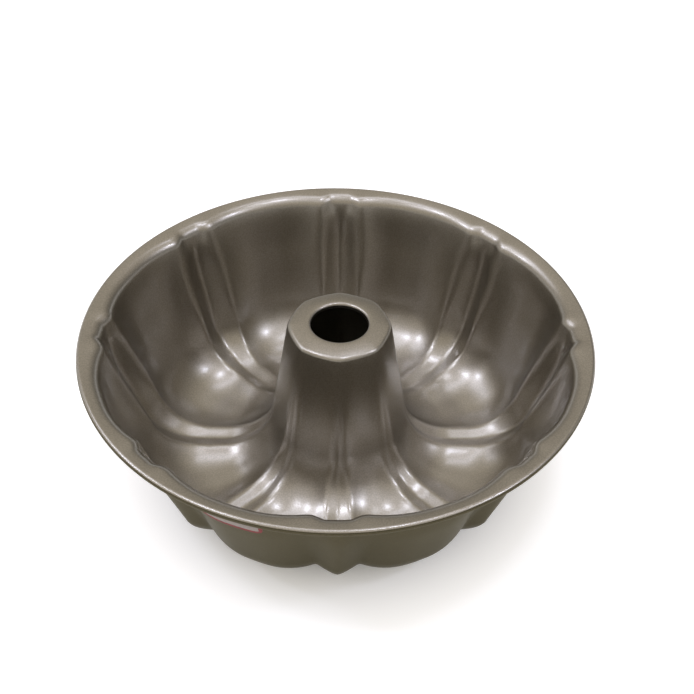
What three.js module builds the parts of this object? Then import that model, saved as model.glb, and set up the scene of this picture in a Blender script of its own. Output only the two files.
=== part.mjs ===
// Fluted tube pan: a ring cake tin pressed from one sheet of steel, with eight narrow vee flutes
// between eight wide lobes, a hollow centre tube, a flat flange and an edge rolled round a wire.
// Millimetres, +Z up. The pan stands on z = 0, its axis is Z, and one vee points to the front, -Y.
import * as THREE from 'three';
import { mergeVertices } from 'three/addons/utils/BufferGeometryUtils.js';

// Overall sizes
const RIM_DIAMETER = 254; // over the rolled rim
const RIM_HEIGHT = 82.5; // top of the flange above the table
const TUBE_RISE = 4; // top of the tube above the flange
const SHEET = 0.6; // steel sheet, coating included

// Rolled rim
const WIRE_DIAMETER = 1.6;
const WIRE_CLEARANCE = 0.3; // between the wire and the sheet rolled round it
const CURL_GAP = 0.5; // between the end of the curl and the underside of the flange

// Flange and wall
const FLANGE_LAND = 1.95; // flat of the flange at a vee, from the start of the curl inwards
const FLANGE_RADIUS = 7; // bend from the flange into the wall
const WALL_DRAFT = 17.5; // degrees from upright

// Floor
const FLOOR_LAND = 8; // flat ring between the bend up to the wall and the bend up to the tube

// Tube
const TUBE_DRAFT = 9.6; // degrees from upright
const TUBE_TOP_DIAMETER = 52; // across the corners of the eight-sided top, before rounding
const TUBE_EDGE_RADIUS = 2.5; // round edge of the tube's top
const CROWN_SLOPE = 10; // degrees, fall of the tube's top from the ring round the hole to its edge
const HOLE_LAND = 2; // flat ring round the hole
const HOLE_DIAMETER = 28.6;
const HOLE_BEND = 1.4; // radius of the bend down into the hole
const HOLE_LIP = 2.6; // depth of the turned-down lip below the tube's top

// Flutes, at named places from the rim down the wall, over the floor and up the tube:
// the depth and width of a vee, and how far a lobe bulges, all measured from the crease lines
const FLUTES = 8;
const RIM_VEE = 2.8;
const RIM_VEE_WIDTH = 20.8;
const RIM_LOBE = 3.4;
const WALL_VEE = 5.6;
const WALL_VEE_WIDTH = 22.8;
const WALL_LOBE = 5.2;
const HEEL_VEE = 5.5;
const HEEL_VEE_WIDTH = 21.6;
const FLOOR_VEE = 1.8;
const FLOOR_VEE_WIDTH = 14;
const FLOOR_LOBE = 3.8;
const TOE_VEE = 1.4;
const TOE_VEE_WIDTH = 11.6;
const TOE_LOBE = 2.6;
const FOOT_VEE = 0.7;
const FOOT_VEE_WIDTH = 6;
const FOOT_LOBE = 1.5;
const TOP_VEE_WIDTH = 3.2;
const TOP_LOBE = 1; // gives the tube's top its eight soft corners
const FULL_FLUTE = 0.45; // share of the wall, from its top, over which the flutes come to full depth
const FLAT_SHARE = 0.15; // share of the wall, from its top, over which the vees lose their flat bottom
const RIM_VEE_FLAT = 0.45; // flat bottom of a vee, as a share of its half width
const VEE_ROUNDING = 0.16; // round bottom of a vee, as a share of its half width
const RIM_CREASE = 2.8; // height of the zone beside a crease that is rounded, at the rim
const WALL_CREASE = 5; // the same half-way down the wall
const CREASE = 1.5; // the same from the foot of the wall to the tube
const LOBE_LAND = 0.2; // flat middle of a lobe on the wall and the floor, as a share of its half width
const TOE_LOBE_LAND = 0.1;

// Paper label, stuck by hand on the outside of the lobe left of the front vee
const LABEL_WIDTH = 46;
const LABEL_HEIGHT = 15;
const LABEL_CORNER = 4;
const LABEL_THICKNESS = 0.2;
const LABEL_CLEARANCE = 0.4;
const LABEL_ANGLE = -28.4; // degrees round from the front vee to the label's middle
const LABEL_DROP = 17.7; // from the top of the flange down to the label's middle
const LABEL_TILT = 3; // degrees, left end lower

// Facets
const FLUTE_GROWTH_STEPS = 3;
const TUBE_STEPS = 2;
const FLOOR_BEND_STEPS = 5;
const FLANGE_BEND_STEPS = 3;
const CURL_STEPS = 6;
const EDGE_STEPS = 2;
const WIRE_SIDES = 8;
const LABEL_COLUMNS = 10;
const LABEL_ROWS = 4;

const rad = THREE.MathUtils.degToRad;
const HALF_PITCH = Math.PI / FLUTES;
const QUARTER_TURN = Math.PI / 2;

// Sizes that follow from the ones above
const rimRadius = RIM_DIAMETER / 2;
const wireRadius = WIRE_DIAMETER / 2;
const beadRadius = wireRadius + WIRE_CLEARANCE + SHEET;
const beadAxis = rimRadius - beadRadius;
const beadHeight = RIM_HEIGHT - beadRadius;
const wallDraft = rad(WALL_DRAFT);
const tubeDraft = rad(TUBE_DRAFT);
const tubeTop = RIM_HEIGHT + TUBE_RISE;
const tubeCorner = TUBE_TOP_DIAMETER / 2;
const holeRadius = HOLE_DIAMETER / 2;
const crownSlope = rad(CROWN_SLOPE);
const crownRadius = holeRadius + HOLE_BEND + HOLE_LAND; // outside of the flat ring round the hole
const cornerHeight = tubeTop - Math.tan(crownSlope) * (tubeCorner - crownRadius);
const floorHeight = FLOOR_LOBE + SHEET; // crease lines on the floor; the lobes stand on z = 0
const flangeInner = beadAxis - FLANGE_LAND - RIM_VEE; // where the flange bends, at a crease
const mouthRadius = flangeInner - FLANGE_RADIUS * Math.tan((QUARTER_TURN - wallDraft) / 2);

// The wall and the tube run into the floor with one bend radius, as large as leaves the floor's land
const wallFoot = mouthRadius - Math.tan(wallDraft) * (RIM_HEIGHT - floorHeight);
const tubeFoot = tubeCorner + Math.tan(tubeDraft) * (cornerHeight - floorHeight);
const wallShare = 1 / Math.cos(wallDraft) - Math.tan(wallDraft);
const tubeShare = 1 / Math.cos(tubeDraft) - Math.tan(tubeDraft);
const floorBend = (wallFoot - tubeFoot - FLOOR_LAND) / (wallShare + tubeShare);
const heelAxis = wallFoot - floorBend * wallShare;
const toeAxis = tubeFoot + floorBend * tubeShare;

// Flute sizes along the sheet, blended smoothly between the named places
function fluteSizes(vee, width, lobe, flat, land, crease) {
  return { vee, half: width / 2, lobe, flat, land, crease };
}
const RIM = fluteSizes(RIM_VEE, RIM_VEE_WIDTH, RIM_LOBE, RIM_VEE_FLAT, LOBE_LAND, RIM_CREASE);
const WALL = fluteSizes(WALL_VEE, WALL_VEE_WIDTH, WALL_LOBE, 0, LOBE_LAND, WALL_CREASE);
const HEEL = fluteSizes(HEEL_VEE, HEEL_VEE_WIDTH, WALL_LOBE, 0, LOBE_LAND, CREASE);
const FLOOR = fluteSizes(FLOOR_VEE, FLOOR_VEE_WIDTH, FLOOR_LOBE, 0, LOBE_LAND, CREASE);
const TOE = fluteSizes(TOE_VEE, TOE_VEE_WIDTH, TOE_LOBE, 0, TOE_LOBE_LAND, CREASE);
const FOOT = fluteSizes(FOOT_VEE, FOOT_VEE_WIDTH, FOOT_LOBE, 0, 0, CREASE);
const TOP = fluteSizes(0, TOP_VEE_WIDTH, TOP_LOBE, 0, 0, CREASE);

function blendFlute(from, to, share) {
  const t = THREE.MathUtils.smoothstep(share, 0, 1);
  const blended = {};
  for (const size of Object.keys(from)) {
    blended[size] = THREE.MathUtils.lerp(from[size], to[size], t);
  }
  return blended;
}

const wallTopZ = RIM_HEIGHT - FLANGE_RADIUS * (1 - Math.sin(wallDraft));
const wallEndZ = floorHeight + floorBend * (1 - Math.sin(wallDraft));

function wallFlute(z) {
  const share = (wallTopZ - z) / (wallTopZ - wallEndZ);
  const flute = share < FULL_FLUTE
    ? blendFlute(RIM, WALL, share / FULL_FLUTE)
    : blendFlute(WALL, HEEL, (share - FULL_FLUTE) / (1 - FULL_FLUTE));
  flute.flat = blendFlute(RIM, WALL, share / FLAT_SHARE).flat;
  return flute;
}

// How far the sheet lies from the crease lines, away from the inside, at an angle from a vee
function fluteDepth(flute, angle, halfVee) {
  const fromFlat = Math.max(0, (angle / halfVee - flute.flat) / (1 - flute.flat));
  const across = Math.hypot(fromFlat, VEE_ROUNDING) - VEE_ROUNDING;
  const fullWidth = Math.hypot(1, VEE_ROUNDING) - VEE_ROUNDING;
  const vee = flute.vee * (1 - across / fullWidth);
  const fromMiddle = (HALF_PITCH - angle) / (HALF_PITCH - halfVee);
  const rise = Math.max(0, (fromMiddle - flute.land) / (1 - flute.land));
  const lobe = flute.lobe * (1 - rise * rise);
  const nearCrease = Math.max(0, 1 - Math.abs(vee - lobe) / flute.crease);
  return Math.max(vee, lobe) + flute.crease * nearCrease * nearCrease / 4;
}

// A station is one point of the inside face of the sheet, seen in a half plane through the axis.
// It holds the point on the crease line, the way through the sheet (nr, nz), the way the flutes
// push the sheet (er, ez), and the flute sizes there. scale fades the flutes where the sheet is plain.
const stations = [];

function addStation(r, z, normal, push, flute, scale = 1, pitchRadius = r) {
  stations.push({
    r,
    z,
    nr: Math.cos(normal),
    nz: Math.sin(normal),
    er: Math.cos(push),
    ez: Math.sin(push),
    flute,
    scale,
    halfVee: flute.half / pitchRadius,
  });
}

// Curl round the wire, from its hidden end over the outside to the flange
const curlEnd = Math.PI - Math.asin((beadRadius - SHEET - CURL_GAP) / beadRadius) - 2 * Math.PI;
for (let i = 0; i <= CURL_STEPS; i++) {
  const a = THREE.MathUtils.lerp(curlEnd, QUARTER_TURN, i / CURL_STEPS);
  const r = beadAxis + beadRadius * Math.cos(a);
  const z = beadHeight + beadRadius * Math.sin(a);
  addStation(r, z, a + Math.PI, 0, RIM, 0, mouthRadius);
}

// Bend from the flange into the wall
for (let i = 0; i <= FLANGE_BEND_STEPS; i++) {
  const a = THREE.MathUtils.lerp(QUARTER_TURN, Math.PI - wallDraft, i / FLANGE_BEND_STEPS);
  const r = flangeInner + FLANGE_RADIUS * Math.cos(a);
  const z = RIM_HEIGHT - FLANGE_RADIUS + FLANGE_RADIUS * Math.sin(a);
  addStation(r, z, a + Math.PI, 0, RIM, 1, mouthRadius);
}

// Wall; below the stretch where the flutes grow it runs straight to the bend at its foot
for (let i = 1; i <= FLUTE_GROWTH_STEPS; i++) {
  const z = THREE.MathUtils.lerp(wallTopZ, wallEndZ, FULL_FLUTE * i / FLUTE_GROWTH_STEPS);
  const r = mouthRadius - Math.tan(wallDraft) * (RIM_HEIGHT - z);
  addStation(r, z, -wallDraft, 0, wallFlute(z));
}

// Bend from the wall to the floor; the flutes turn with it from level to straight down
for (let i = 0; i <= FLOOR_BEND_STEPS; i++) {
  const t = i / FLOOR_BEND_STEPS;
  const a = THREE.MathUtils.lerp(-wallDraft, -QUARTER_TURN, t);
  const r = heelAxis + floorBend * Math.cos(a);
  const z = floorHeight + floorBend + floorBend * Math.sin(a);
  addStation(r, z, a, -QUARTER_TURN * t, blendFlute(HEEL, FLOOR, t));
}

// Bend from the floor to the tube
for (let i = 0; i <= FLOOR_BEND_STEPS; i++) {
  const t = i / FLOOR_BEND_STEPS;
  const a = THREE.MathUtils.lerp(-QUARTER_TURN, tubeDraft - Math.PI, t);
  const r = toeAxis + floorBend * Math.cos(a);
  const z = floorHeight + floorBend + floorBend * Math.sin(a);
  const flute = t < 0.5 ? blendFlute(FLOOR, TOE, 2 * t) : blendFlute(TOE, FOOT, 2 * t - 1);
  addStation(r, z, a, -QUARTER_TURN * (1 + t), flute);
}

// Tube, which becomes eight-sided towards its top
const tubeStartZ = floorHeight + floorBend * (1 - Math.sin(tubeDraft));
const edgeTurn = QUARTER_TURN - crownSlope - tubeDraft;
const edgeSetback = TUBE_EDGE_RADIUS * Math.tan(edgeTurn / 2);
const edgeStartRadius = tubeCorner + edgeSetback * Math.sin(tubeDraft);
const edgeStartZ = cornerHeight - edgeSetback * Math.cos(tubeDraft);
for (let i = 1; i < TUBE_STEPS; i++) {
  const z = THREE.MathUtils.lerp(tubeStartZ, edgeStartZ, i / TUBE_STEPS);
  const r = tubeCorner + Math.tan(tubeDraft) * (cornerHeight - z);
  addStation(r, z, tubeDraft + Math.PI, Math.PI, blendFlute(FOOT, TOP, i / TUBE_STEPS));
}

// Round edge of the tube's top, and the slope up from it to the flat ring round the hole
const edgeAxis = edgeStartRadius - TUBE_EDGE_RADIUS * Math.cos(tubeDraft);
const edgeAxisZ = edgeStartZ - TUBE_EDGE_RADIUS * Math.sin(tubeDraft);
for (let i = 0; i <= EDGE_STEPS; i++) {
  const a = THREE.MathUtils.lerp(tubeDraft, QUARTER_TURN - crownSlope, i / EDGE_STEPS);
  const r = edgeAxis + TUBE_EDGE_RADIUS * Math.cos(a);
  const z = edgeAxisZ + TUBE_EDGE_RADIUS * Math.sin(a);
  addStation(r, z, a + Math.PI, Math.PI, TOP, 1, tubeCorner);
}
const crownNormal = QUARTER_TURN - crownSlope / 2 + Math.PI;
addStation(crownRadius, tubeTop, crownNormal, Math.PI, TOP, 0, tubeCorner);

// Bend and lip turned down into the hole
for (let i = 0; i <= EDGE_STEPS; i++) {
  const a = THREE.MathUtils.lerp(QUARTER_TURN, Math.PI, i / EDGE_STEPS);
  const r = holeRadius + HOLE_BEND + HOLE_BEND * Math.cos(a);
  const z = tubeTop - HOLE_BEND + HOLE_BEND * Math.sin(a);
  addStation(r, z, a + Math.PI, Math.PI, TOP, 0, tubeCorner);
}
addStation(holeRadius, tubeTop - HOLE_LIP, 2 * Math.PI, Math.PI, TOP, 0, tubeCorner);

// Mesh lines run along the flutes. In one pitch they lie at these shares of a vee's half width,
// counted from its middle, and of a lobe's half width, counted from the lobe's middle.
const VEE_LINES = [0.42, 0.9];
const LOBE_LINES = [0.94, 0.57, LOBE_LAND];

function pitchAngles(halfVee) {
  const inVee = VEE_LINES.map((share) => share * halfVee);
  const inLobe = LOBE_LINES.map((share) => HALF_PITCH - share * (HALF_PITCH - halfVee));
  const side = [...inVee, ...inLobe];
  return [...side.map((angle) => -angle).reverse(), 0, ...side];
}

// A point of the sheet at a station: angle counts from the middle of vee number flute,
// and depth from the inside face through the sheet
function sheetPoint(station, flute, angle, depth) {
  const push = station.scale * fluteDepth(station.flute, Math.abs(angle), station.halfVee);
  const r = station.r + station.er * push + station.nr * depth;
  const z = station.z + station.ez * push + station.nz * depth;
  return axisPoint(r, z, 2 * HALF_PITCH * flute + angle);
}

// Angles go round from the front, -Y, towards +X
function axisPoint(r, z, angle) {
  return new THREE.Vector3(r * Math.sin(angle), -r * Math.cos(angle), z);
}

// Closed skin from rows of points that each go once round the axis; the last row joins the first
function skinOfRows(rows) {
  const count = rows[0].length;
  const position = rows.flat().flatMap((point) => point.toArray());
  const index = [];
  rows.forEach((row, i) => {
    const here = i * count;
    const next = ((i + 1) % rows.length) * count;
    for (let j = 0; j < count; j++) {
      const k = (j + 1) % count;
      index.push(here + j, here + k, next + k);
      index.push(here + j, next + k, next + j);
    }
  });
  const geometry = new THREE.BufferGeometry();
  geometry.setAttribute('position', new THREE.Float32BufferAttribute(position, 3));
  geometry.setIndex(index);
  geometry.computeVertexNormals();
  return geometry;
}

// Pan: the inside face from the curl to the hole's lip, and back along the outside face
function panShell() {
  const rowAt = (station, depth) => {
    const row = [];
    for (let flute = 0; flute < FLUTES; flute++) {
      for (const angle of pitchAngles(station.halfVee)) {
        row.push(sheetPoint(station, flute, angle, depth));
      }
    }
    return row;
  };
  const inside = stations.map((station) => rowAt(station, 0));
  const outside = stations.map((station) => rowAt(station, SHEET)).reverse();
  return skinOfRows([...inside, ...outside]);
}

// Wire: a ring in the middle of the curl
function rimWire() {
  const angles = [];
  for (let flute = 0; flute < FLUTES; flute++) {
    for (const angle of pitchAngles(RIM.half / mouthRadius)) {
      angles.push(2 * HALF_PITCH * flute + angle);
    }
  }
  const rows = [];
  for (let i = 0; i < WIRE_SIDES; i++) {
    const a = 2 * Math.PI * i / WIRE_SIDES;
    const r = beadAxis + wireRadius * Math.cos(a);
    const z = beadHeight + wireRadius * Math.sin(a);
    rows.push(angles.map((angle) => axisPoint(r, z, angle)));
  }
  return skinOfRows(rows);
}

// Label: a paper rectangle with round corners, bent to the outside of the wall
function paperLabel() {
  const tilt = rad(LABEL_TILT);
  const middleZ = RIM_HEIGHT - LABEL_DROP;
  const middleRadius = mouthRadius - Math.tan(wallDraft) * LABEL_DROP;
  const onWall = (x, y, depth) => {
    const along = x * Math.cos(tilt) - y * Math.sin(tilt);
    const up = x * Math.sin(tilt) + y * Math.cos(tilt);
    const angle = rad(LABEL_ANGLE) + along / middleRadius;
    const z = middleZ + up * Math.cos(wallDraft);
    const flute = wallFlute(z);
    const crease = mouthRadius - Math.tan(wallDraft) * (RIM_HEIGHT - z);
    const fromVee = Math.abs(angle - 2 * HALF_PITCH * Math.round(angle / (2 * HALF_PITCH)));
    const r = crease + fluteDepth(flute, fromVee, flute.half / crease);
    return axisPoint(r + depth / Math.cos(wallDraft), z, angle);
  };
  const edgeAt = (x) => {
    const intoCorner = Math.max(0, Math.abs(x) - (LABEL_WIDTH / 2 - LABEL_CORNER));
    const drop = LABEL_CORNER - Math.sqrt(LABEL_CORNER ** 2 - intoCorner ** 2);
    return LABEL_HEIGHT / 2 - drop;
  };
  const under = SHEET + LABEL_CLEARANCE;
  const depths = [under, under + LABEL_THICKNESS];
  const rows = [];
  for (let i = 0; i <= LABEL_COLUMNS; i++) {
    const share = 2 * i / LABEL_COLUMNS - 1;
    const x = Math.sin(share * QUARTER_TURN) * LABEL_WIDTH / 2;
    const ring = [];
    for (let j = 0; j <= LABEL_ROWS; j++) {
      const y = edgeAt(x) * (2 * j / LABEL_ROWS - 1);
      ring.push([x, y]);
    }
    rows.push(ring);
  }
  const front = rows.map((ring) => ring.map(([x, y]) => onWall(x, y, depths[1])));
  const back = rows.map((ring) => ring.map(([x, y]) => onWall(x, y, depths[0])));
  return closedPatch(front, back);
}

// Closed thin patch from two grids of points, one for each face, joined along their edges
function closedPatch(front, back) {
  const columns = front.length;
  const rows = front[0].length;
  const position = [...front.flat(), ...back.flat()].flatMap((point) => point.toArray());
  const at = (face, i, j) => face * columns * rows + i * rows + j;
  const index = [];
  const quad = (a, b, c, d) => index.push(a, b, c, a, c, d);
  for (let i = 0; i + 1 < columns; i++) {
    for (let j = 0; j + 1 < rows; j++) {
      quad(at(0, i, j), at(0, i + 1, j), at(0, i + 1, j + 1), at(0, i, j + 1));
      quad(at(1, i, j), at(1, i, j + 1), at(1, i + 1, j + 1), at(1, i + 1, j));
    }
    quad(at(1, i, 0), at(1, i + 1, 0), at(0, i + 1, 0), at(0, i, 0));
    quad(at(0, i, rows - 1), at(0, i + 1, rows - 1), at(1, i + 1, rows - 1), at(1, i, rows - 1));
  }
  for (let j = 0; j + 1 < rows; j++) {
    quad(at(0, 0, j), at(0, 0, j + 1), at(1, 0, j + 1), at(1, 0, j));
    quad(at(1, columns - 1, j), at(1, columns - 1, j + 1), at(0, columns - 1, j + 1), at(0, columns - 1, j));
  }
  const geometry = new THREE.BufferGeometry();
  geometry.setAttribute('position', new THREE.Float32BufferAttribute(position, 3));
  geometry.setIndex(index);
  return mergeVertices(geometry);
}

const coatedSteel = new THREE.MeshStandardMaterial({ color: 0x7d7568, roughness: 0.36, metalness: 0.85 });
const bareSteel = new THREE.MeshStandardMaterial({ color: 0xb4b4b2, roughness: 0.4, metalness: 1 });
const paper = new THREE.MeshStandardMaterial({ color: 0xd8cfcb, roughness: 0.6, metalness: 0 });

function named(name, geometry, material) {
  const mesh = new THREE.Mesh(geometry, material);
  mesh.name = name;
  return mesh;
}

const pan = new THREE.Group();
pan.add(named('pan_shell', panShell(), coatedSteel));
pan.add(named('rim_wire', rimWire(), bareSteel));
pan.add(named('label', paperLabel(), paper));

export default pan;
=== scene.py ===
import math

import bpy
import numpy as np
from mathutils import Matrix


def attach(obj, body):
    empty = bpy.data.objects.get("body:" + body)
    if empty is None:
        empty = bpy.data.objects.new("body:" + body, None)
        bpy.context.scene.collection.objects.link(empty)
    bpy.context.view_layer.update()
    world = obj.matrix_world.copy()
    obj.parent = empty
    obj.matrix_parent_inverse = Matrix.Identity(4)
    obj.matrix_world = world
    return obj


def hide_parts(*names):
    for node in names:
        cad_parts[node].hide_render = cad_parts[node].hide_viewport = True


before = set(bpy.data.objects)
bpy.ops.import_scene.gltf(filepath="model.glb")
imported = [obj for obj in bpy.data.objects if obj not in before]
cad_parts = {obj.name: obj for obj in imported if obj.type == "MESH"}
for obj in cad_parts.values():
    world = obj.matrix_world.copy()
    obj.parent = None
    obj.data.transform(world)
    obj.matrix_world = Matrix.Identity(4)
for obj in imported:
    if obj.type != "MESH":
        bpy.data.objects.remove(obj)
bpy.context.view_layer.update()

# Pan shell: one deep-drawn pressing of thin steel sheet with a baked release coating on both
# faces, grey-brown with fine metal flake. Wall, floor, tube and flange are one piece of sheet,
# and its outer edge is rolled round the rim wire.
MM = 0.001
RIM_DIAMETER = 254 * MM
RIM_HEIGHT = 82.5 * MM
TUBE_RISE = 4 * MM
SHEET = 0.6 * MM
WIRE_DIAMETER = 1.6 * MM
WIRE_CLEARANCE = 0.3 * MM
CURL_GAP = 0.7 * MM
FLANGE_LAND = 3.38 * MM
FLANGE_SLOPE = math.radians(10.5)
FLANGE_RADIUS = 7 * MM
FLOOR_LAND = 8 * MM
TUBE_TOP_DIAMETER = 52 * MM
TUBE_EDGE_RADIUS = 2.5 * MM
CROWN_SLOPE = math.radians(10)
HOLE_LAND = 2 * MM
HOLE_DIAMETER = 28.6 * MM
HOLE_BEND = 1.4 * MM
HOLE_LIP = 2.6 * MM
WALL_DRAFT = math.radians(17.5)
TUBE_DRAFT = math.radians(9.6)

# Eight flutes, at places along the sheet: depth of a vee, half its width and the flat share of its
# bottom, how far a lobe bulges and the flat share of its middle, how far a crease is rounded, and
# the rounded share of a vee's bottom
FLUTES = 8
HALF_PITCH = math.pi / FLUTES
QUARTER_TURN = math.pi / 2
AT_RIM = np.array([2.8 * MM, 10.4 * MM, 0.45, 3.4 * MM, 0.2, 2.8 * MM, 0.3])
AT_WALL = np.array([5.6 * MM, 11.4 * MM, 0, 5.2 * MM, 0.2, 5 * MM, 0.3])
AT_HEEL = np.array([5.5 * MM, 10.8 * MM, 0, 5.2 * MM, 0.2, 1.5 * MM, 0.16])
AT_FLOOR = np.array([1.8 * MM, 7 * MM, 0, 3.8 * MM, 0.2, 1.5 * MM, 0.16])
AT_TOE = np.array([1.4 * MM, 5.8 * MM, 0, 2.6 * MM, 0.1, 1.5 * MM, 0.16])
AT_FOOT = np.array([0.7 * MM, 3 * MM, 0, 1.5 * MM, 0, 1.5 * MM, 0.16])
AT_TOP = np.array([0, 1.6 * MM, 0, 1 * MM, 0, 1.5 * MM, 0.16])
FULL_FLUTE = 0.45
FLAT_SHARE = 0.15

bead_radius = WIRE_DIAMETER / 2 + WIRE_CLEARANCE + SHEET
bead_axis = RIM_DIAMETER / 2 - bead_radius
bead_height = RIM_HEIGHT - bead_radius
tube_top = RIM_HEIGHT + TUBE_RISE
tube_corner = TUBE_TOP_DIAMETER / 2
crown_radius = HOLE_DIAMETER / 2 + HOLE_BEND + HOLE_LAND
corner_height = tube_top - math.tan(CROWN_SLOPE) * (tube_corner - crown_radius)
floor_height = AT_FLOOR[3] + SHEET
flange_inner = bead_axis - FLANGE_LAND - AT_RIM[0]
bend_axis = flange_inner + FLANGE_RADIUS * math.sin(FLANGE_SLOPE)
bend_axis_z = RIM_HEIGHT - math.tan(FLANGE_SLOPE) * FLANGE_LAND - FLANGE_RADIUS * math.cos(FLANGE_SLOPE)
wall_top_z = bend_axis_z + FLANGE_RADIUS * math.sin(WALL_DRAFT)
wall_top_radius = bend_axis - FLANGE_RADIUS * math.cos(WALL_DRAFT)
mouth_radius = wall_top_radius + math.tan(WALL_DRAFT) * (RIM_HEIGHT - wall_top_z)
wall_foot = mouth_radius - math.tan(WALL_DRAFT) * (RIM_HEIGHT - floor_height)
tube_foot = tube_corner + math.tan(TUBE_DRAFT) * (corner_height - floor_height)
wall_share = 1 / math.cos(WALL_DRAFT) - math.tan(WALL_DRAFT)
tube_share = 1 / math.cos(TUBE_DRAFT) - math.tan(TUBE_DRAFT)
floor_bend = (wall_foot - tube_foot - FLOOR_LAND) / (wall_share + tube_share)
heel_axis = wall_foot - floor_bend * wall_share
toe_axis = tube_foot + floor_bend * tube_share
wall_end_z = floor_height + floor_bend * (1 - math.sin(WALL_DRAFT))


def blend_flute(start, end, share):
    """Flute sizes on a soft change from one place along the sheet to the next."""
    share = min(max(share, 0), 1)
    return start + (end - start) * share * share * (3 - 2 * share)


def wall_flute(z):
    """Flutes come to full depth over the upper part of the wall, and their flat bottom ends sooner."""
    share = (wall_top_z - z) / (wall_top_z - wall_end_z)
    flute = blend_flute(AT_RIM, AT_WALL, share / FULL_FLUTE)
    if share > FULL_FLUTE:
        flute = blend_flute(AT_WALL, AT_HEEL, (share - FULL_FLUTE) / (1 - FULL_FLUTE))
    flute[2] = blend_flute(AT_RIM, AT_WALL, share / FLAT_SHARE)[2]
    return flute


def flute_depth(flute, angle, half_vee):
    """How far the sheet lies outside the crease lines, at an angle from the middle of a vee."""
    vee_depth, _, flat, lobe_depth, land, crease, rounding = flute
    from_flat = np.maximum(0, (angle / half_vee - flat) / (1 - flat))
    across = np.hypot(from_flat, rounding) - rounding
    full_width = math.hypot(1, rounding) - rounding
    vee = vee_depth * (1 - across / full_width)
    from_middle = (HALF_PITCH - angle) / (HALF_PITCH - half_vee)
    rise = np.maximum(0, (from_middle - land) / (1 - land))
    lobe = lobe_depth * (1 - rise * rise)
    near_crease = np.maximum(0, 1 - np.abs(vee - lobe) / crease)
    return np.maximum(vee, lobe) + crease * near_crease * near_crease / 4


# Stations of the sheet's inside face in a half plane through the axis, from the end of the curl
# over the flange, down the wall, across the floor and up the tube to the lip of the hole
stations = []


def add_station(r, z, normal, push, flute, scale=1, pitch_radius=None):
    half_vee = flute[1] / (pitch_radius or r)
    stations.append((r, z, normal, push, flute, scale, half_vee))


CURL_STEPS = 24
BEND_STEPS = 12
WALL_STEPS = 16
FLOOR_STEPS = 22
EDGE_STEPS = 8

curl_end = -math.pi - math.asin((bead_radius - SHEET - CURL_GAP) / bead_radius)
curl_turns = np.linspace(curl_end, QUARTER_TURN + FLANGE_SLOPE, CURL_STEPS + 1)
for a in curl_turns:
    r = bead_axis + bead_radius * math.cos(a)
    z = bead_height + bead_radius * math.sin(a)
    add_station(r, z, a + math.pi, 0, AT_RIM, 0, mouth_radius)
for a in np.linspace(QUARTER_TURN + FLANGE_SLOPE, math.pi - WALL_DRAFT, BEND_STEPS + 1):
    r = bend_axis + FLANGE_RADIUS * math.cos(a)
    z = bend_axis_z + FLANGE_RADIUS * math.sin(a)
    add_station(r, z, a + math.pi, 0, AT_RIM, 1, mouth_radius)
for z in np.linspace(wall_top_z, wall_end_z, WALL_STEPS + 1)[1:-1]:
    r = mouth_radius - math.tan(WALL_DRAFT) * (RIM_HEIGHT - z)
    add_station(r, z, -WALL_DRAFT, 0, wall_flute(z))
for t in np.linspace(0, 1, FLOOR_STEPS + 1):
    a = -WALL_DRAFT + (WALL_DRAFT - QUARTER_TURN) * t
    r = heel_axis + floor_bend * math.cos(a)
    z = floor_height + floor_bend + floor_bend * math.sin(a)
    add_station(r, z, a, -QUARTER_TURN * t, blend_flute(AT_HEEL, AT_FLOOR, t))
for t in np.linspace(0, 1, FLOOR_STEPS + 1):
    a = -QUARTER_TURN + (TUBE_DRAFT - QUARTER_TURN) * t
    r = toe_axis + floor_bend * math.cos(a)
    z = floor_height + floor_bend + floor_bend * math.sin(a)
    if t < 0.5:
        flute = blend_flute(AT_FLOOR, AT_TOE, 2 * t)
    else:
        flute = blend_flute(AT_TOE, AT_FOOT, 2 * t - 1)
    add_station(r, z, a, -QUARTER_TURN * (1 + t), flute)
tube_start_z = floor_height + floor_bend * (1 - math.sin(TUBE_DRAFT))
edge_turn = QUARTER_TURN - CROWN_SLOPE - TUBE_DRAFT
edge_setback = TUBE_EDGE_RADIUS * math.tan(edge_turn / 2)
edge_start_r = tube_corner + edge_setback * math.sin(TUBE_DRAFT)
edge_start_z = corner_height - edge_setback * math.cos(TUBE_DRAFT)
edge_axis = edge_start_r - TUBE_EDGE_RADIUS * math.cos(TUBE_DRAFT)
edge_axis_z = edge_start_z - TUBE_EDGE_RADIUS * math.sin(TUBE_DRAFT)
for t in np.linspace(0, 1, WALL_STEPS + 1)[1:-1]:
    z = tube_start_z + (edge_start_z - tube_start_z) * t
    r = tube_corner + math.tan(TUBE_DRAFT) * (corner_height - z)
    add_station(r, z, TUBE_DRAFT + math.pi, math.pi, blend_flute(AT_FOOT, AT_TOP, t))
for a in np.linspace(TUBE_DRAFT, QUARTER_TURN - CROWN_SLOPE, EDGE_STEPS + 1):
    r = edge_axis + TUBE_EDGE_RADIUS * math.cos(a)
    z = edge_axis_z + TUBE_EDGE_RADIUS * math.sin(a)
    add_station(r, z, a + math.pi, math.pi, AT_TOP, 1, tube_corner)
crown_normal = QUARTER_TURN - CROWN_SLOPE / 2 + math.pi
add_station(crown_radius, tube_top, crown_normal, math.pi, AT_TOP, 0, tube_corner)
hole_radius = HOLE_DIAMETER / 2
for a in np.linspace(QUARTER_TURN, math.pi, EDGE_STEPS + 1):
    r = hole_radius + HOLE_BEND + HOLE_BEND * math.cos(a)
    z = tube_top - HOLE_BEND + HOLE_BEND * math.sin(a)
    add_station(r, z, a + math.pi, math.pi, AT_TOP, 0, tube_corner)
add_station(hole_radius, tube_top - HOLE_LIP, 2 * math.pi, math.pi, AT_TOP, 0, tube_corner)

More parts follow.
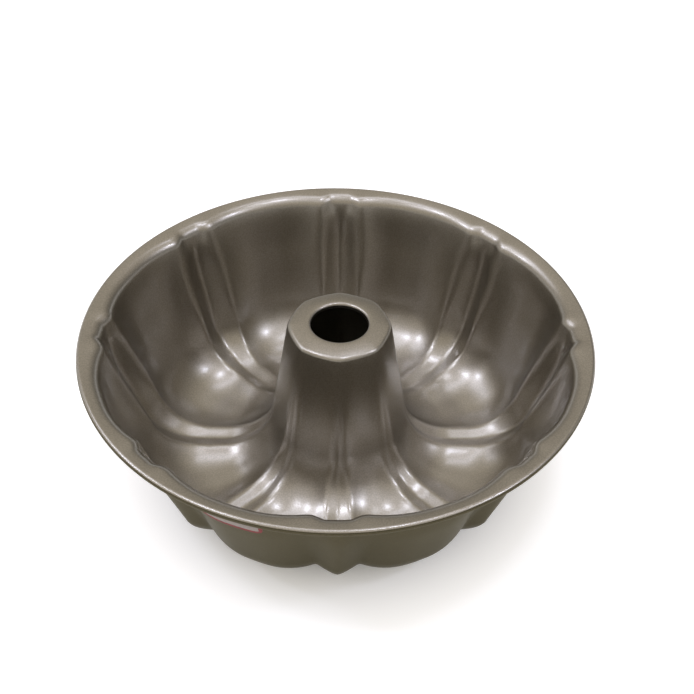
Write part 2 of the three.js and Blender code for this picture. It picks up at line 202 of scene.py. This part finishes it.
# Columns round the pan stand closer together in the vees and creases than across the lobes
VEE_SPAN = math.radians(10)
VEE_COLUMNS = 14
LOBE_COLUMNS = 8
in_vee = np.linspace(0, VEE_SPAN, VEE_COLUMNS, endpoint=False)
vee_to_lobe = np.concatenate([in_vee, np.linspace(VEE_SPAN, HALF_PITCH, LOBE_COLUMNS + 1)])
one_pitch = np.concatenate([vee_to_lobe, 2 * HALF_PITCH - vee_to_lobe[-2:0:-1]])
turn = np.concatenate([one_pitch + i * 2 * HALF_PITCH for i in range(FLUTES)])
from_vee = np.abs((turn + HALF_PITCH) % (2 * HALF_PITCH) - HALF_PITCH)


def round_axis(r, z, angle):
    """Points at angles that go round from the front, -Y, towards +X."""
    return np.stack([r * np.sin(angle), -r * np.cos(angle), z + 0 * angle], axis=-1)


def sheet_row(station, depth):
    """One row of points round the pan, at a depth below the sheet's inside face."""
    r, z, normal, push, flute, scale, half_vee = station
    out = scale * flute_depth(flute, from_vee, half_vee)
    row_r = r + math.cos(push) * out + math.cos(normal) * depth
    row_z = z + math.sin(push) * out + math.sin(normal) * depth
    return round_axis(row_r, row_z, turn)


def mesh_of_rows(name, rows):
    """Closed skin through rows of points that each go once round; the last row joins the first."""
    points = np.concatenate(rows)
    count = len(rows[0])
    here = np.arange(len(points)).reshape(len(rows), count)
    right = np.roll(here, -1, axis=1)
    below = np.roll(here, -1, axis=0)
    below_right = np.roll(below, -1, axis=1)
    faces = np.stack([here, right, below_right, below], axis=-1).reshape(-1, 4)
    mesh = bpy.data.meshes.new(name)
    mesh.from_pydata(points.tolist(), [], faces.tolist())
    mesh.shade_smooth()
    piece = bpy.data.objects.new(name, mesh)
    bpy.context.scene.collection.objects.link(piece)
    return piece


inside = [sheet_row(station, 0) for station in stations]
outside = [sheet_row(station, SHEET) for station in stations]
shell = mesh_of_rows("shell", inside + outside[::-1])
SHARP_EDGE = math.radians(50)
shell.data.set_sharp_from_angle(angle=SHARP_EDGE)

# Effect of the coating: fine flake, a cloudy gloss, and faint lines left along the flutes by drawing
FLAKE_SCALE, FLAKE_DETAIL = 1400, 2
FLAKE_SPAN = (0.36, 0.66)
CLOUD_SCALE, CLOUD_DETAIL = 26, 3
LINE_SCALE, LINE_DETAIL = 60, 4
LINE_RUN = 8
LINE_SHARE = 0.6


def noise(tree, vector, scale, detail):
    """Noise over the surface, from 0 to 1."""
    node = tree.nodes.new("ShaderNodeTexNoise")
    node.inputs["Scale"].default_value = scale
    node.inputs["Detail"].default_value = detail
    tree.links.new(vector, node.inputs["Vector"])
    return node.outputs["Fac"]


def reckon(tree, operation, *values):
    """One step of arithmetic on sockets and plain numbers."""
    node = tree.nodes.new("ShaderNodeMath")
    node.operation = operation
    for socket, value in zip(node.inputs, values):
        if isinstance(value, (int, float)):
            socket.default_value = value
        else:
            tree.links.new(value, socket)
    return node.outputs["Value"]


def graded(tree, value, span, low=0.0, high=1.0, soft=False):
    """Goes from low to high while a value crosses a span, with soft ends if asked."""
    node = tree.nodes.new("ShaderNodeMapRange")
    if soft:
        node.interpolation_type = "SMOOTHSTEP"
    node.inputs["From Min"].default_value, node.inputs["From Max"].default_value = span
    node.inputs["To Min"].default_value, node.inputs["To Max"].default_value = low, high
    tree.links.new(value, node.inputs["Value"])
    return node.outputs["Result"]


def mixed(tree, share, first, second):
    """Colour between two others."""
    node = tree.nodes.new("ShaderNodeMix")
    node.data_type = "RGBA"
    tree.links.new(share, node.inputs["Factor"])
    tree.links.new(first, node.inputs["A"])
    tree.links.new(second, node.inputs["B"])
    return node.outputs["Result"]


flake = bpy.data.node_groups.new("metal_flake", "ShaderNodeTree")
for name, kind in (("Dark", "NodeSocketColor"), ("Light", "NodeSocketColor"),
                   ("Gloss", "NodeSocketFloat"), ("Matt", "NodeSocketFloat")):
    flake.interface.new_socket(name, in_out="INPUT", socket_type=kind)
for name, kind in (("Color", "NodeSocketColor"), ("Roughness", "NodeSocketFloat"),
                   ("Height", "NodeSocketFloat")):
    flake.interface.new_socket(name, in_out="OUTPUT", socket_type=kind)
values = flake.nodes.new("NodeGroupInput")
effect = flake.nodes.new("NodeGroupOutput")
place = flake.nodes.new("ShaderNodeTexCoord").outputs["Object"]
grain = noise(flake, place, FLAKE_SCALE, FLAKE_DETAIL)
glint = graded(flake, grain, FLAKE_SPAN)
tone = mixed(flake, glint, values.outputs["Dark"], values.outputs["Light"])
flake.links.new(tone, effect.inputs["Color"])
gloss = flake.nodes.new("ShaderNodeMapRange")
flake.links.new(noise(flake, place, CLOUD_SCALE, CLOUD_DETAIL), gloss.inputs["Value"])
flake.links.new(values.outputs["Gloss"], gloss.inputs["To Min"])
flake.links.new(values.outputs["Matt"], gloss.inputs["To Max"])
flake.links.new(gloss.outputs["Result"], effect.inputs["Roughness"])
parts = flake.nodes.new("ShaderNodeSeparateXYZ")
flake.links.new(place, parts.inputs["Vector"])
run = flake.nodes.new("ShaderNodeCombineXYZ")
bearing = reckon(flake, "ARCTAN2", parts.outputs["X"], parts.outputs["Y"])
flake.links.new(bearing, run.inputs["X"])
flake.links.new(reckon(flake, "MULTIPLY", parts.outputs["Z"], LINE_RUN), run.inputs["Y"])
drawn = noise(flake, run.outputs["Vector"], LINE_SCALE, LINE_DETAIL)
height = reckon(flake, "MULTIPLY_ADD", drawn, LINE_SHARE, grain)
flake.links.new(height, effect.inputs["Height"])

COAT_ROUGHNESS = 0.2
RELIEF_STRENGTH = 0.03
RELIEF_DEPTH = 0.4 * MM


def blank_material(name):
    material = bpy.data.materials.new(name)
    material.use_nodes = True
    return material, material.node_tree, material.node_tree.nodes["Principled BSDF"]


def coated(name, dark, light, edge, gloss_range, coat):
    """Steel sheet under a baked coating: metal flake below a clear gloss."""
    material, tree, shader = blank_material(name)
    shader.inputs["Metallic"].default_value = 1.0
    shader.inputs["Specular Tint"].default_value = edge
    shader.inputs["Coat Weight"].default_value = coat
    shader.inputs["Coat Roughness"].default_value = COAT_ROUGHNESS
    finish = tree.nodes.new("ShaderNodeGroup")
    finish.node_tree = flake
    finish.inputs["Dark"].default_value = dark
    finish.inputs["Light"].default_value = light
    finish.inputs["Gloss"].default_value, finish.inputs["Matt"].default_value = gloss_range
    tree.links.new(finish.outputs["Color"], shader.inputs["Base Color"])
    tree.links.new(finish.outputs["Roughness"], shader.inputs["Roughness"])
    relief = tree.nodes.new("ShaderNodeBump")
    relief.inputs["Strength"].default_value = RELIEF_STRENGTH
    relief.inputs["Distance"].default_value = RELIEF_DEPTH
    tree.links.new(finish.outputs["Height"], relief.inputs["Height"])
    tree.links.new(relief.outputs["Normal"], shader.inputs["Normal"])
    return material


# The inside is a warm grey under a full clear gloss. The outside is nearly matt and painted a darker
# olive with dimmed edge reflections: painted shade for the dark surroundings it mirrors.
warm_grey = coated("warm_grey_inside", dark=(0.278, 0.254, 0.216, 1), light=(0.341, 0.311, 0.264, 1),
                   edge=(0.8, 0.8, 0.8, 1), gloss_range=(0.30, 0.39), coat=1.0)
shaded_outside = coated("outside_painted_shade", dark=(0.060, 0.052, 0.031, 1), light=(0.075, 0.065, 0.039, 1),
               edge=(0.71, 0.69, 0.62, 1), gloss_range=(0.34, 0.42), coat=0.05)
shell.data.materials.append(warm_grey)
shell.data.materials.append(shaded_outside)
# The lower part of the curl takes the same dark outside finish: painted shade under the bead.
SHADED_CURL_TO = math.radians(27)
face_row = np.repeat(np.arange(2 * len(stations)), len(turn))
shaded_curl = face_row < np.count_nonzero(curl_turns < SHADED_CURL_TO)
shaded_outside_rows = (face_row >= len(stations)) | shaded_curl
shell.data.polygons.foreach_set("material_index", shaded_outside_rows.astype(np.int32))
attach(shell, "root")
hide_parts("pan_shell")

# Rim wire: a ring of drawn steel wire that stiffens the edge. The sheet is rolled round it, so
# only a line of it can be seen through the slit of the curl from below.
WIRE_SIDES = 16
WIRE_SCALE, WIRE_DETAIL = 900, 2
WIRE_DARK, WIRE_LIGHT = (0.50, 0.50, 0.49, 1), (0.62, 0.62, 0.61, 1)
WIRE_SPAN = (0.3, 0.7)
WIRE_ROUGHNESS = (0.3, 0.5)
wire_rows = []
for a in np.arange(WIRE_SIDES) * 2 * math.pi / WIRE_SIDES:
    r = bead_axis + WIRE_DIAMETER / 2 * math.cos(a)
    z = bead_height + WIRE_DIAMETER / 2 * math.sin(a)
    wire_rows.append(round_axis(r, z, turn))
wire = mesh_of_rows("wire", wire_rows)
steel, tree, shader = blank_material("drawn_wire")
shader.inputs["Metallic"].default_value = 1.0
place = tree.nodes.new("ShaderNodeTexCoord").outputs["Object"]
grain = noise(tree, place, WIRE_SCALE, WIRE_DETAIL)


def ramp(tree, value, span, start, end):
    """Colour that goes from start to end while a value crosses a span."""
    node = tree.nodes.new("ShaderNodeValToRGB")
    for stop, position, color in zip(node.color_ramp.elements, span, (start, end)):
        stop.position = position
        stop.color = color
    tree.links.new(value, node.inputs["Fac"])
    return node.outputs["Color"]


tree.links.new(ramp(tree, grain, WIRE_SPAN, WIRE_DARK, WIRE_LIGHT), shader.inputs["Base Color"])
tree.links.new(graded(tree, grain, (0, 1), *WIRE_ROUGHNESS), shader.inputs["Roughness"])
wire.data.materials.append(steel)
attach(wire, "root")
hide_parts("rim_wire")

# Label: a small paper sticker with a plain printed border, stuck by hand a little askew on the
# outside of the lobe left of the front vee, close under the rim.
LABEL_WIDTH = 46 * MM
LABEL_HEIGHT = 15 * MM
LABEL_CORNER = 4 * MM
LABEL_THICKNESS = 0.2 * MM
LABEL_CLEARANCE = 0.4 * MM
LABEL_BORDER = 1.8 * MM
LABEL_DROP = 17.7 * MM
LABEL_ANGLE = math.radians(-28.4)
LABEL_TILT = math.radians(3)
LABEL_COLUMNS = 24
LABEL_ROWS = 8
CORNER_STEPS = 8
label_z = RIM_HEIGHT - LABEL_DROP
label_radius = mouth_radius - math.tan(WALL_DRAFT) * LABEL_DROP


def label_point(x, y, depth):
    """Point of the label, measured from its middle, on the wall and at a depth outside its inner face."""
    along = x * math.cos(LABEL_TILT) - y * math.sin(LABEL_TILT)
    up = x * math.sin(LABEL_TILT) + y * math.cos(LABEL_TILT)
    angle = LABEL_ANGLE + along / label_radius
    z = label_z + up * math.cos(WALL_DRAFT)
    flute = wall_flute(z)
    crease = mouth_radius - math.tan(WALL_DRAFT) * (RIM_HEIGHT - z)
    off_vee = abs((angle + HALF_PITCH) % (2 * HALF_PITCH) - HALF_PITCH)
    out = flute_depth(flute, off_vee, flute[1] / crease) + depth / math.cos(WALL_DRAFT)
    return round_axis(crease + out, z, np.array(angle)).tolist()


corner_turns = np.linspace(0, QUARTER_TURN, CORNER_STEPS + 1)
half_straight = LABEL_WIDTH / 2 - LABEL_CORNER
right_end = half_straight + LABEL_CORNER * np.sin(corner_turns)
right_end = np.sort(np.append(right_end, LABEL_WIDTH / 2 - LABEL_BORDER))
middle = np.linspace(-half_straight, half_straight, LABEL_COLUMNS + 1)[1:-1]
columns = np.concatenate([-right_end[::-1], middle, right_end])
label_points = []
for depth in (SHEET + LABEL_CLEARANCE + LABEL_THICKNESS, SHEET + LABEL_CLEARANCE):
    for x in columns:
        into_corner = max(0, abs(x) - half_straight)
        drop = LABEL_CORNER - math.sqrt(max(0, LABEL_CORNER ** 2 - into_corner ** 2))
        edge = LABEL_HEIGHT / 2 - drop
        for y in [-edge, *np.linspace(LABEL_BORDER - edge, edge - LABEL_BORDER, LABEL_ROWS + 1), edge]:
            label_points.append(label_point(x, y, depth))
across = len(columns)
face_points = len(label_points) // 2
upright = face_points // across
grid = np.arange(face_points).reshape(across, upright)
front = np.stack([grid[:-1, :-1], grid[1:, :-1], grid[1:, 1:], grid[:-1, 1:]], axis=-1).reshape(-1, 4)
back = front[:, ::-1] + face_points
edge_loop = np.concatenate([grid[:-1, 0], grid[-1, :-1], grid[:0:-1, -1], grid[0, :0:-1]])
next_edge = np.roll(edge_loop, -1)
rim_faces = np.stack([edge_loop, edge_loop + face_points, next_edge + face_points, next_edge], axis=-1)
sticker_mesh = bpy.data.meshes.new("sticker")
sticker_mesh.from_pydata(label_points, [], np.concatenate([front, back, rim_faces]).tolist())
sticker_mesh.shade_smooth()
sticker_mesh.set_sharp_from_angle(angle=SHARP_EDGE)
sticker = bpy.data.objects.new("sticker", sticker_mesh)
bpy.context.scene.collection.objects.link(sticker)

# Effect of the paper: the mottle of its fibres, which shows through the ink as well
FIBRE_SCALE, FIBRE_DETAIL = 700, 4
FIBRE_SPAN = (0.35, 0.65)
fibres = bpy.data.node_groups.new("paper_fibres", "ShaderNodeTree")
fibres.interface.new_socket("Pale", in_out="INPUT", socket_type="NodeSocketColor")
fibres.interface.new_socket("Dark", in_out="INPUT", socket_type="NodeSocketColor")
fibres.interface.new_socket("Color", in_out="OUTPUT", socket_type="NodeSocketColor")
values = fibres.nodes.new("NodeGroupInput")
effect = fibres.nodes.new("NodeGroupOutput")
place = fibres.nodes.new("ShaderNodeTexCoord").outputs["Object"]
share = graded(fibres, noise(fibres, place, FIBRE_SCALE, FIBRE_DETAIL), FIBRE_SPAN)
tone = mixed(fibres, share, values.outputs["Dark"], values.outputs["Pale"])
fibres.links.new(tone, effect.inputs["Color"])

PAPER_ROUGHNESS = 0.55
PAPER_SHINE = 0.2


def printed(name, pale, dark):
    """Matt paper or ink on paper."""
    material, tree, shader = blank_material(name)
    shader.inputs["Roughness"].default_value = PAPER_ROUGHNESS
    shader.inputs["Specular IOR Level"].default_value = PAPER_SHINE
    mottle = tree.nodes.new("ShaderNodeGroup")
    mottle.node_tree = fibres
    mottle.inputs["Pale"].default_value = pale
    mottle.inputs["Dark"].default_value = dark
    tree.links.new(mottle.outputs["Color"], shader.inputs["Base Color"])
    return material


# Paper and border get colours darker than their own: painted shade for the shadow under the rim above the
# label.
paper = printed("label_paper", pale=(0.37, 0.33, 0.305, 1), dark=(0.31, 0.275, 0.255, 1))
border = printed("label_border_shaded", pale=(0.24, 0.04, 0.04, 1), dark=(0.18, 0.03, 0.03, 1))
sticker_mesh.materials.append(paper)
sticker_mesh.materials.append(border)
in_border = np.zeros((across - 1, upright - 1), dtype=np.int32)
in_border[:, [0, -1]] = 1
middles = (columns[:-1] + columns[1:]) / 2
in_border[np.abs(middles) > LABEL_WIDTH / 2 - LABEL_BORDER] = 1
unprinted = np.zeros(len(back) + len(rim_faces), dtype=np.int32)
sticker_mesh.polygons.foreach_set("material_index", np.concatenate([in_border.ravel(), unprinted]))
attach(sticker, "root")
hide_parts("label")

# Floor: a wide pale table top of matt board that the pan stands on. It turns white where it is
# looked at clear of the pan and keeps the pan's shadow.
FLOOR_SIZE = 40.0
FLOOR_GAP = 0.1 * MM
FLOOR_ROUGHNESS = 0.9
CLEAR_SPAN = (0.05, 0.13)
CLEAR_LIFT = 0.5
bpy.ops.mesh.primitive_plane_add(size=FLOOR_SIZE, location=(0, 0, -FLOOR_GAP))
table = bpy.context.object
table.name = "table"
pale, tree, shader = blank_material("pale_table")
shader.inputs["Base Color"].default_value = (0.88, 0.87, 0.86, 1)
shader.inputs["Roughness"].default_value = FLOOR_ROUGHNESS
shader.inputs["Specular IOR Level"].default_value = 0.0
shader.inputs["Emission Color"].default_value = (1, 1, 1, 1)
ray = tree.nodes.new("ShaderNodeLightPath").outputs
mirrored = reckon(tree, "MAXIMUM", ray["Is Glossy Ray"], ray["Is Transmission Ray"])
seen = reckon(tree, "MAXIMUM", ray["Is Camera Ray"], mirrored)
place = tree.nodes.new("ShaderNodeTexCoord").outputs["Object"]
away = tree.nodes.new("ShaderNodeVectorMath")
away.operation = "LENGTH"
tree.links.new(place, away.inputs[0])
clear = graded(tree, away.outputs["Value"], CLEAR_SPAN, high=CLEAR_LIFT, soft=True)
tree.links.new(reckon(tree, "MULTIPLY", seen, clear), shader.inputs["Emission Strength"])
table.data.materials.append(pale)

# Light: a soft room light that is brighter from above and from the left, with a white backdrop, a
# row of four small ceiling lamps, a strip behind them, and a soft panel on each side and in front.
ROOM_TILT = (-0.22, -0.15, 1)
ROOM_SPAN = (0.0, 0.66)
ROOM_LOW, ROOM_HIGH = (0.09, 0.085, 0.075, 1), (0.80, 0.74, 0.63, 1)
SKYLINE_SPAN = (0.09, 0.24)
world = bpy.data.worlds.new("room")
bpy.context.scene.world = world
world.use_nodes = True
tree = world.node_tree
direction = tree.nodes.new("ShaderNodeTexCoord").outputs["Generated"]
uphill = tree.nodes.new("ShaderNodeVectorMath")
uphill.operation = "DOT_PRODUCT"
uphill.inputs[1].default_value = ROOM_TILT
tree.links.new(direction, uphill.inputs[0])
room = ramp(tree, uphill.outputs["Value"], ROOM_SPAN, ROOM_LOW, ROOM_HIGH)
level = tree.nodes.new("ShaderNodeSeparateXYZ")
tree.links.new(direction, level.inputs["Vector"])
skyline = graded(tree, level.outputs["Z"], SKYLINE_SPAN, low=1.0, high=0.0, soft=True)
ray = tree.nodes.new("ShaderNodeLightPath").outputs
mirrored = reckon(tree, "MAXIMUM", ray["Is Glossy Ray"], ray["Is Transmission Ray"])
low_down = reckon(tree, "MULTIPLY", mirrored, skyline)
scenery = tree.nodes.new("ShaderNodeMix")
scenery.data_type = "RGBA"
scenery.inputs["B"].default_value = (1, 1, 1, 1)
tree.links.new(reckon(tree, "MAXIMUM", low_down, ray["Is Camera Ray"]), scenery.inputs["Factor"])
tree.links.new(room, scenery.inputs["A"])
tree.links.new(scenery.outputs["Result"], tree.nodes["Background"].inputs["Color"])

COOL_WHITE = (0.74, 0.79, 1)
LAMP_HEIGHT = 1.2
LAMP_SIZE = (0.15, 0.15)
for name, x, y, size, watts in (
    ("far_left_lamp", -1.3, 0.1, LAMP_SIZE, 3.2),
    ("left_lamp", -0.61, -0.16, LAMP_SIZE, 2.3),
    ("middle_lamp", 0.22, -0.12, LAMP_SIZE, 1.7),
    ("right_lamp", 1.02, -0.29, LAMP_SIZE, 2.4),
    ("back_strip", -0.12, 0.22, (1.0, 0.18), 1.8),
    ("left_panel", -1.0, 0.46, (0.6, 0.6), 2.4),
    ("right_panel", 1.15, -0.42, (0.7, 0.5), 1.9),
    ("front_panel", 0, -0.55, (1.4, 0.5), 1.0),
):
    lamp = bpy.data.lights.new(name, "AREA")
    lamp.shape = "RECTANGLE"
    lamp.size, lamp.size_y = size
    lamp.energy = watts
    lamp.color = COOL_WHITE
    holder = bpy.data.objects.new(name, lamp)
    holder.location = (x, y, LAMP_HEIGHT)
    holder.rotation_euler = (-holder.location).to_track_quat("-Z", "Y").to_euler()
    bpy.context.scene.collection.objects.link(holder)

# Camera: above the front of the pan, looking down into it, with a lens a little longer than normal
# and the shift of a picture that is cut off centre.
CAMERA_PLACE = (0.0009, -0.3863, 0.4169)
CAMERA_TURN = math.radians(-4.373)
CAMERA_TILT = math.radians(47.418)
CAMERA_ROLL = math.radians(3.422)
CAMERA_SHIFT = (-0.0746, 0.02)
SENSOR = 36.0
PICTURE_PIXELS = 694
FOCAL_SHARE = 1025.6 / PICTURE_PIXELS
NEAREST = 0.01
lens = bpy.data.cameras.new("camera")
lens.sensor_width = SENSOR
lens.lens = SENSOR * FOCAL_SHARE
lens.clip_start = NEAREST
lens.shift_x, lens.shift_y = CAMERA_SHIFT
camera = bpy.data.objects.new("camera", lens)
camera.matrix_world = (
    Matrix.Translation(CAMERA_PLACE)
    @ Matrix.Rotation(CAMERA_TURN, 4, "Z")
    @ Matrix.Rotation(CAMERA_TILT, 4, "X")
    @ Matrix.Rotation(CAMERA_ROLL, 4, "Z")
)
bpy.context.scene.collection.objects.link(camera)
bpy.context.scene.camera = camera
bpy.context.scene.view_settings.view_transform = "Standard"
